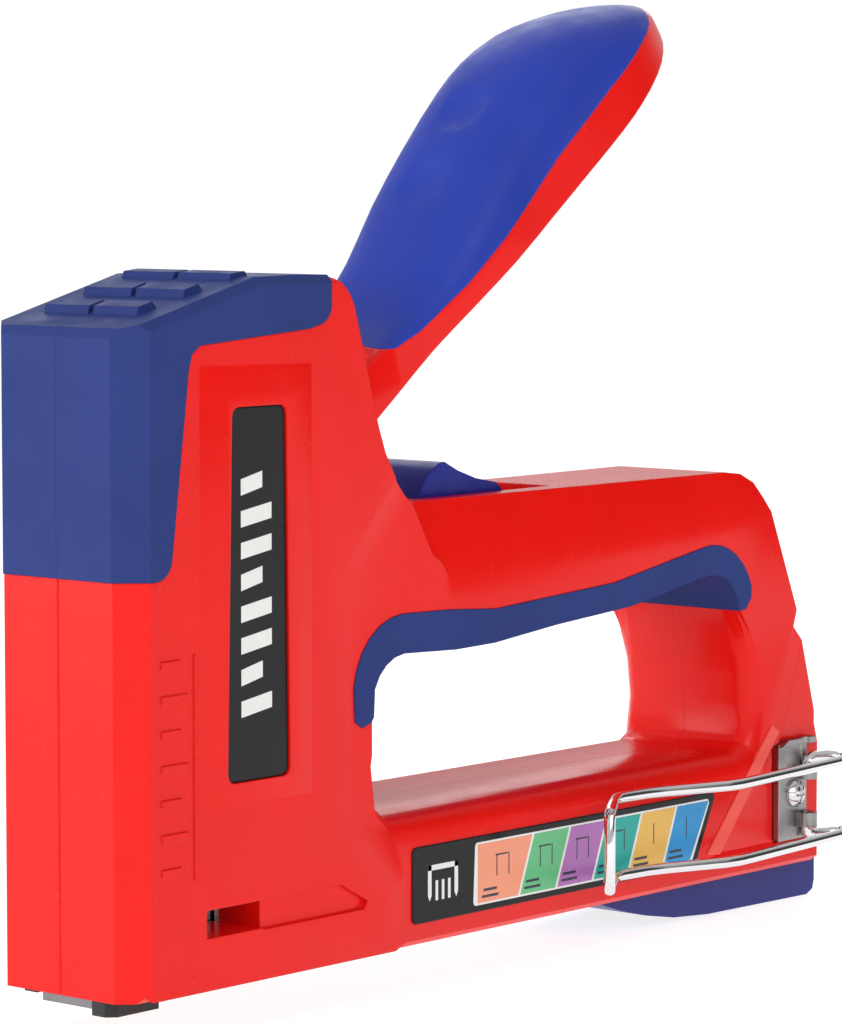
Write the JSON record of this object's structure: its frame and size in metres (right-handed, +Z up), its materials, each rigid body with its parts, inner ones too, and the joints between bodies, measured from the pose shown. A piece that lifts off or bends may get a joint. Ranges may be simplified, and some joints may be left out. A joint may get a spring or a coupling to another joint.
{
  "type": "staple gun",
  "caption": "Heavy-duty hand staple gun with a raised squeeze lever, closed hand hole, pull-out magazine, thumb button and sprung wire belt clip.",
  "frame": {"origin": "front of the nose on the mid-plane, in the plane of the nosepiece's bottom face", "axes": "-X is the way the nose faces and +X runs back along the handle, +Z is up and away from the work, -Y is the belt clip side"},
  "size_m": [0.2217, 0.0544, 0.1951],
  "materials": {
    "red_shell": "glossy",
    "blue_soft": "satin",
    "blue_bright": "satin",
    "blue_button": "satin",
    "blue_latch": "satin",
    "black_gloss": "glossy",
    "label_black": "glossy",
    "black_matte": "matt",
    "black_rubber": "matt",
    "black_metal": "satin",
    "steel": "brushed",
    "dark_steel": "satin",
    "spring_steel": "drawn",
    "bright_steel": "polished",
    "chrome_wire": "polished",
    "bronze": "satin"
  },
  "bodies": {
    "housing": {"housing_left": "red_shell", "housing_right": "red_shell", "cap_left": "blue_soft", "cap_right": "blue_soft", "grip_left": "blue_soft", "grip_right": "blue_soft", "plate_left": "black_gloss", "plate_right": "black_gloss", "size_label": "label_black", "nosepiece": "black_metal", "guide_plate": "steel", "staple_channel": "steel", "spring_seat": "black_matte", "bumper": "black_rubber", "lever_pin": "steel", "housing_screws": "steel", "clip_bracket": "steel", "clip_screw": "bright_steel"},
    "lever": {"lever_shell": "red_shell", "lever_pad": "blue_bright", "lever_core": "steel", "lever_bushing": "bronze", "return_spring": "spring_steel"},
    "plunger": {"plunger": "dark_steel", "driver_blade": "steel", "blade_rivets": "steel", "main_spring": "spring_steel"},
    "button": {"slide_button": "blue_button", "slide_bar": "steel"},
    "magazine": {"magazine_core": "steel", "magazine_latch": "blue_latch", "latch_pad": "black_rubber", "spring_tape": "spring_steel", "staples": "bright_steel"},
    "pusher": {"pusher": "dark_steel", "pusher_spring": "spring_steel"},
    "clip": {"clip_wire": "chrome_wire"}
  },
  "joints": [
    {"name": "lever_squeeze", "type": "hinge", "parent": "housing", "child": "lever", "pos_m": [0.052, 0, 0.106], "axis": [0, 1, 0], "range_deg": [0, 38], "stiffness_Nm_per_rad": 1.5, "springref_deg": -22.92},
    {"name": "plunger_lift", "type": "slide", "parent": "housing", "child": "plunger", "axis": [0, 0, 1], "range_m": [0, 0.021], "stiffness_N_per_m": 600, "springref_m": -0.012, "deforming": ["main_spring"]},
    {"name": "button_slide", "type": "slide", "parent": "housing", "child": "button", "axis": [1, 0, 0], "range_m": [0, 0.012]},
    {"name": "magazine_slide", "type": "slide", "parent": "housing", "child": "magazine", "axis": [1, 0, 0], "range_m": [0, 0.09]},
    {"name": "pusher_slide", "type": "slide", "parent": "magazine", "child": "pusher", "axis": [1, 0, 0], "range_m": [0, 0.11], "stiffness_N_per_m": 30, "springref_m": -0.1},
    {"name": "clip_flex", "type": "hinge", "parent": "housing", "child": "clip", "pos_m": [0.2095, -0.0196, 0.018], "axis": [0, 0, 1], "range_deg": [0, 12], "stiffness_Nm_per_rad": 2.5, "springref_deg": -1.72}
  ],
  "couplings": [
    {"joint": "plunger_lift", "follows": "lever_squeeze", "m_per_rad": 0.031417}
  ]
}
